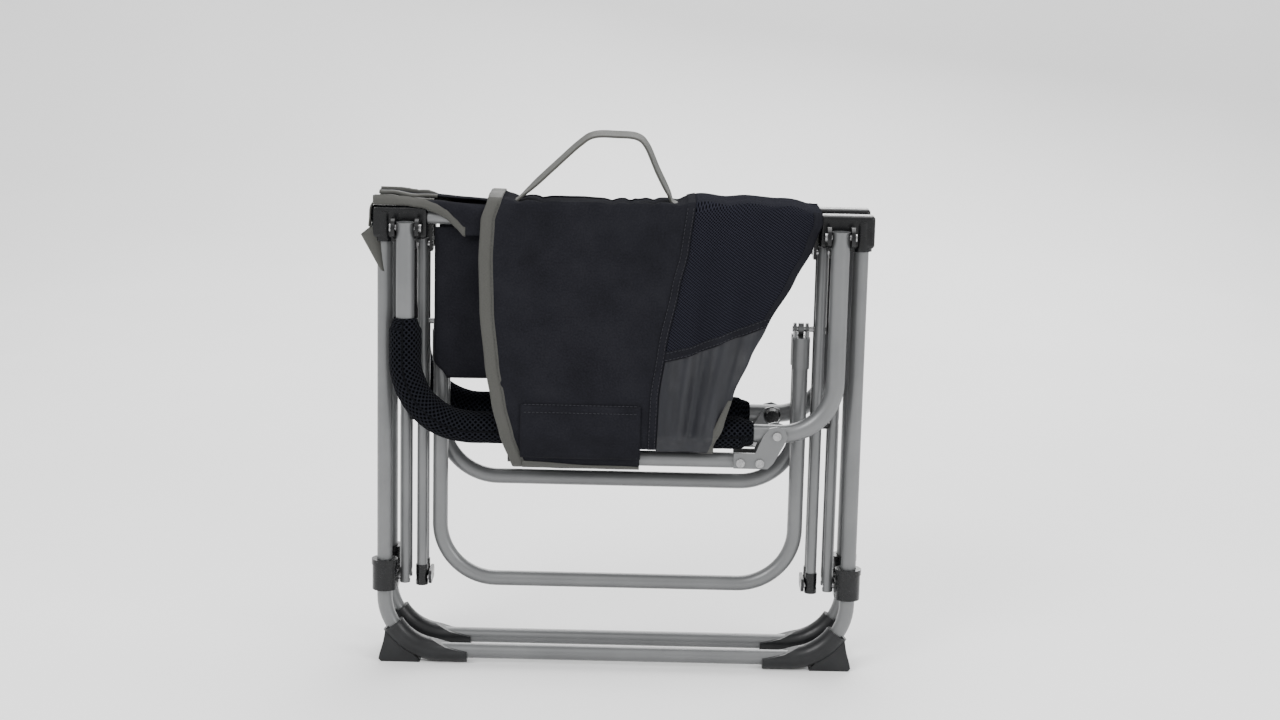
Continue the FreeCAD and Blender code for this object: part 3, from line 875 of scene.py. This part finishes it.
def corner_cloth(side):
    """The front corner of the seat cloth, drawn over the front connector and bound in tape."""
    sign = SIGN[side]
    low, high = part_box(side + "_front_connector")
    top = high.z
    xs = [mix(low.x + 0.0015, -0.122, c / 64) for c in range(65)]
    rows = [corner_section(x, sign, top) for x in xs]
    piece = grid(side + "_corner_cloth", rows, NAVY)
    if sign < 0:
        piece.data.flip_normals()
    thicken(piece, CLOTH)
    rides_on_rail(piece, side)

    corner_tape(side, "_corner_binding", [row for row in rows if row[0].x < -0.160], -1, -4, 0.0085)
    corner_tape(side, "_corner_inner_binding", [row for row in rows if row[0].x < -0.195], 0, 3, 0.0050)
    end_tape(side, sign, low, top)


def corner_tape(side, name, rows, edge, behind, width):
    """Binds one long edge of the corner cloth. edge and behind are places in each row of it."""
    line = [row[edge] for row in rows]

    def inward(k):
        return (rows[k][behind] - rows[k][edge]).normalized()

    def out(k):
        ahead = line[min(k + 1, len(line) - 1)] - line[max(k - 1, 0)]
        up = ahead.cross(inward(k)).normalized()
        return up if up.y * SIGN[side] > 0 or up.z > 0.5 else -up

    rides_on_rail(tape(side + name, line, inward, out, width=width), side)


def end_tape(side, sign, low, top):
    """Tape down the front end of the corner, and the loose loop that hangs from it."""
    rows = []
    for x, z, half in ((0.0080, 0.0052, 0.009), (0.0030, 0.0046, 0.009), (-0.0004, 0.0010, 0.009),
                       (-0.0022, -0.0060, 0.0085), (-0.0018, -0.0140, 0.008), (-0.0026, -0.0220, 0.008)):
        middle = Vector((low.x + x, 0.0295 * sign, top + z))
        rows.append([middle + Vector((0.0006 * sin(k * 1.7 + z * 900), half * (k / 4 - 1), 0))
                     for k in range(9)])
    fall = grid(side + "_corner_end_tape", rows, TAPE_CLOTH)
    rounder(fall)
    thicken(fall, 0.0014)
    rides_on_rail(fall, side)

    rows = []
    for k in range(13):
        t = k / 12
        fold = Vector((mix(-0.2690, -0.2490, t), 0, mix(0.4578, 0.4215, t)))
        root = Vector((mix(-0.2545, -0.2440, t ** 0.6), 0, mix(0.4680, 0.4190, t)))
        row = []
        for c in range(9):
            w = c / 8
            bow = 0.0035 * sin(pi * w) * (1 - 0.4 * t)
            row.append(fold.lerp(root, w) + Vector((0, (0.0335 + bow) * sign, 0)))
        back = []
        for c in range(1, 7):
            inset = 0.0300 - 0.0020 * sin(pi * c / 8)
            back.append(fold.lerp(root, c / 8) + Vector((0, inset * sign, 0.0016 * c / 8)))
        rows.append(back[::-1] + row)
    loop = grid(side + "_corner_loop", rows, TAPE_CLOTH)
    thicken(loop, 0.0012)
    rides_on_rail(loop, side)


def rounder(piece):
    """Subdivides a small piece and keeps the result."""
    soft = piece.modifiers.new("soft", "SUBSURF")
    soft.levels = soft.render_levels = 2
    return settle(piece)


def rides_on_rail(piece, side):
    """The piece moves with its side's frame."""
    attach(piece, side + "_frame")


# ---- seat ----

def seat(side):
    """Half of the seat, folded once: it hangs from the rail and comes back up."""
    sign = SIGN[side]
    outer_low, outer_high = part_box(side + "_seat_outer")
    inner_low, inner_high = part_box(side + "_seat_inner")
    rail_low, rail_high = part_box(side + "_seat_rail")
    outer_y = abs((outer_low.y + outer_high.y) / 2)
    inner_y = abs((inner_low.y + inner_high.y) / 2)
    low, top = outer_low.z, outer_high.z
    middle = (outer_y + inner_y) / 2
    corner = 0.013

    turns = [(outer_y, top), (outer_y, mix(top, low, 0.5)), (outer_y, low + 0.006), (middle, low + 0.001),
             (inner_y, low + 0.006), (inner_y, mix(low, inner_high.z, 0.5)), (inner_y, inner_high.z + 0.0015)]
    rows = []
    for p in spline([Vector((0, y, z)) for y, z in turns], 0.004):
        h = (p.z - low) / (top - low)
        rear = mix(SEAT_REAR_LOW, outer_high.x, h)
        front = outer_low.x + corner * (1 - smooth(0.0, 0.11, h))
        row = []
        for c in range(61):
            x = mix(front, rear, c / 60)
            sway = 0.0012 * sin(x * 48 + h * 2) * (1 - h) + 0.0008 * noisy(x, h * 0.14, 5.0, 0.03)
            layer = 1.0 if p.y > middle else -0.4
            lift = 0.0035 * smooth(-0.16, 0.05, x) * (1 - smooth(0.0, 0.3, h))
            row.append(Vector((x, (p.y + abs(sway) * layer) * sign, p.z + lift)))
        rows.append(row)
    panel = grid(side + "_seat_panel", rows, NAVY)
    if sign < 0:
        panel.data.flip_normals()
    thicken(panel, CLOTH)
    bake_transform(panel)
    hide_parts(side + "_seat_outer", side + "_seat_inner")

    rail_y = abs((rail_low.y + rail_high.y) / 2)
    rail_z = (rail_low.z + rail_high.z) / 2
    rail_r = (rail_high.z - rail_low.z) / 2 + 0.0009
    rows = []
    for k in range(29):
        turn = mix(-0.42, 1.42, k / 28) * pi
        row = []
        for c in range(61):
            x = mix(outer_low.x + 0.026, outer_high.x, c / 60)
            r = rail_r + 0.0002 * (1 + noisy(x, turn, 1.0, 0.02))
            row.append(Vector((x, (rail_y + r * cos(turn)) * sign, rail_z + r * sin(turn))))
        rows.append(row)
    sleeve = grid(side + "_seat_rail_sleeve", rows, NAVY)
    if sign > 0:
        sleeve.data.flip_normals()
    thicken(sleeve, 0.0006)
    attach(sleeve, side + "_frame")


# ---- armrest pads ----

def pad(side):
    """Air mesh over foam, round the front bend of the armrest, hemmed at both ends."""
    sign = SIGN[side]
    low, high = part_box(side + "_armrest_pad")
    arm_low, arm_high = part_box(side + "_armrest_tube")
    tube_r = (arm_high.y - arm_low.y) / 2
    full = (high.y - low.y) / 2
    y = (low.y + high.y) / 2
    x, z = low.x + full, low.z + full
    route = rounded([Vector((x, y, high.z)), Vector((x, y, z)), Vector((high.x, y, z))], [0.070], 0.003)
    total = 0.003 * (len(route) - 1)
    around = 48

    def section(i, n):
        s = i / (n - 1)
        near_end = min(s, 1 - s) * total
        close = smooth(0.0, 0.013, near_end)
        hem = 0.0016 * hump(near_end, 0.0085, 0.0028)
        ring = []
        for k in range(around):
            turn = 2 * pi * k / around
            r = mix(tube_r + 0.0016, full - 0.0007, close ** 0.6) - hem
            r += close * 0.0008 * noisy(s * total, turn * 0.02, 2.0 + sign, 0.028)
            r += close * 0.0003 * noisy(s * total, turn * 0.02, 7.0, 0.008)
            r -= 0.0014 * close * hump(turn, 1.5 * pi, 0.07)
            r = min(r, full + 0.0003)
            ring.append((r * cos(turn), r * sin(turn)))
        return ring

    piece = loft(side + "_armrest_cover", route, section, PAD, lambda i: Vector((0, sign, 0)), ends=False)
    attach(piece, side + "_arm")
    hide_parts(side + "_armrest_pad")


# ---- carrying strap ----

def strap():
    """Webbing that lies on the top fold at its ends and stands up as a loop."""
    low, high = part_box("carry_strap")
    strip_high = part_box("backrest_cover_top")[1]
    width = high.y - low.y
    thick = 0.0021
    base = strip_high.z - 0.0048
    spots = [Vector((low.x, 0, base)), Vector((low.x + 0.014, 0, base)), Vector((-0.101, 0, base + 0.010)),
             Vector((-0.074, 0, mix(base, high.z, 0.50))), Vector((-0.047, 0, high.z - 0.0105)),
             Vector((-0.032, 0, high.z - 0.0015)), Vector((-0.008, 0, high.z - 0.0008)),
             Vector((0.012, 0, high.z - 0.0025)), Vector((0.0225, 0, high.z - 0.012)),
             Vector((0.034, 0, mix(base, high.z, 0.48))), Vector((0.0455, 0, base + 0.012)),
             Vector((0.052, 0, base + 0.001)), Vector((high.x, 0, base))]
    route = spline(spots, 0.0025)

    def section(i, n):
        half, edge = width / 2, thick / 2
        ring = [(-half, 0), (-half + 0.0006, edge)]
        ribs = 12
        for k in range(1, ribs):
            crown = edge + (0.00018 if k % 2 else -0.00005)
            ring.append((mix(-half + 0.0006, half - 0.0006, k / ribs), crown))
        ring += [(half - 0.0006, edge), (half, 0)]
        ring += [(a, -b) for a, b in ring[-2:0:-1]]
        return ring

    def sideways(i):
        s = i / (len(route) - 1)
        ahead = (route[min(i + 1, len(route) - 1)] - route[max(i - 1, 0)]).normalized()
        tilt = 0.15 * smooth(0.05, 0.18, s) * (1 - smooth(0.82, 0.95, s))
        return Vector((-ahead.z * tilt, 1, ahead.x * tilt))

    band = loft("strap_webbing", route, section, TAPE_CLOTH, sideways)
    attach(band, "cover_top")
    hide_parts("carry_strap")
    for name, x in (("front", low.x + 0.001), ("rear", high.x - 0.016)):
        line = box_line(x, x + 0.014, -width / 2 + 0.002, width / 2 - 0.002, base + thick / 2 + 0.0002)
        stitches("strap_stitches_" + name, line, Vector((0, 0, 1)), THREAD, "cover_top", 0.0034)


def box_line(x0, x1, y0, y1, z):
    """The path of a sewn box with a cross in it."""
    corners = ((x0, y0), (x1, y0), (x1, y1), (x0, y1), (x0, y0), (x1, y1), (x1, y0), (x0, y1))
    return [Vector((x, y, z)) for x, y in corners]


# ---- make everything ----

dress_nodes()
stage_and_camera()
for hand in ("near", "far"):
    backrest_cover(hand)
    corner_cloth(hand)
    seat(hand)
    pad(hand)
strap()
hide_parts("backrest_cover_top")
